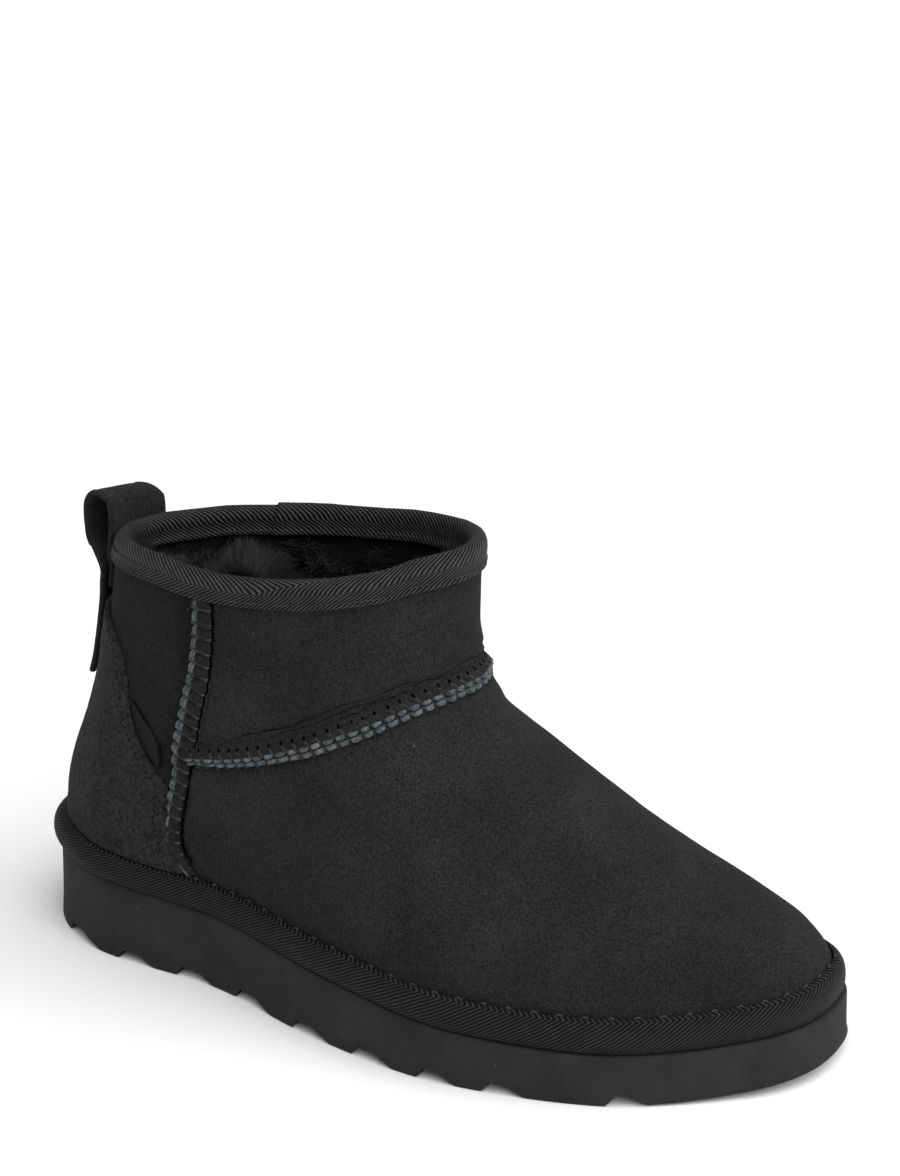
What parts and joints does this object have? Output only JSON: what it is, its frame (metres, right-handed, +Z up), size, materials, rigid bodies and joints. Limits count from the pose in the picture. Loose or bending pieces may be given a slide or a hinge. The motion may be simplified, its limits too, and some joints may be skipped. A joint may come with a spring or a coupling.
{
  "type": "sheepskin ankle boot",
  "caption": "Low suede ankle boot with a deep wool lining, taped collar and welt roll, whip-stitched seams, heel counter, pull loop and a ribbed wedge sole.",
  "frame": {"origin": "on the floor, at the centre of the underside of the boot's bounding box", "axes": "+X to the toe, +Y to the wearer's left, which is the inner side of this right boot, +Z up"},
  "size_m": [0.2734, 0.1074, 0.1507],
  "materials": {
    "sole_foam": "matte black moulded foam with a fine skin",
    "woven_tape": "black twill tape with slanting ribs, faint sheen",
    "wool": "deep black wool pile",
    "suede": "black suede with a short soft nap",
    "counter_suede": "black suede, coarser nap, a little lighter",
    "tag_tape": "smooth black ribbon, bare"
  },
  "bodies": {
    "root": {"outsole": "sole_foam", "welt_roll": "woven_tape", "sock": "wool", "upper": "suede", "heel_counter": "counter_suede", "collar_binding": "woven_tape", "pull_loop": "counter_suede", "side_tag": "tag_tape"}
  },
  "joints": []
}
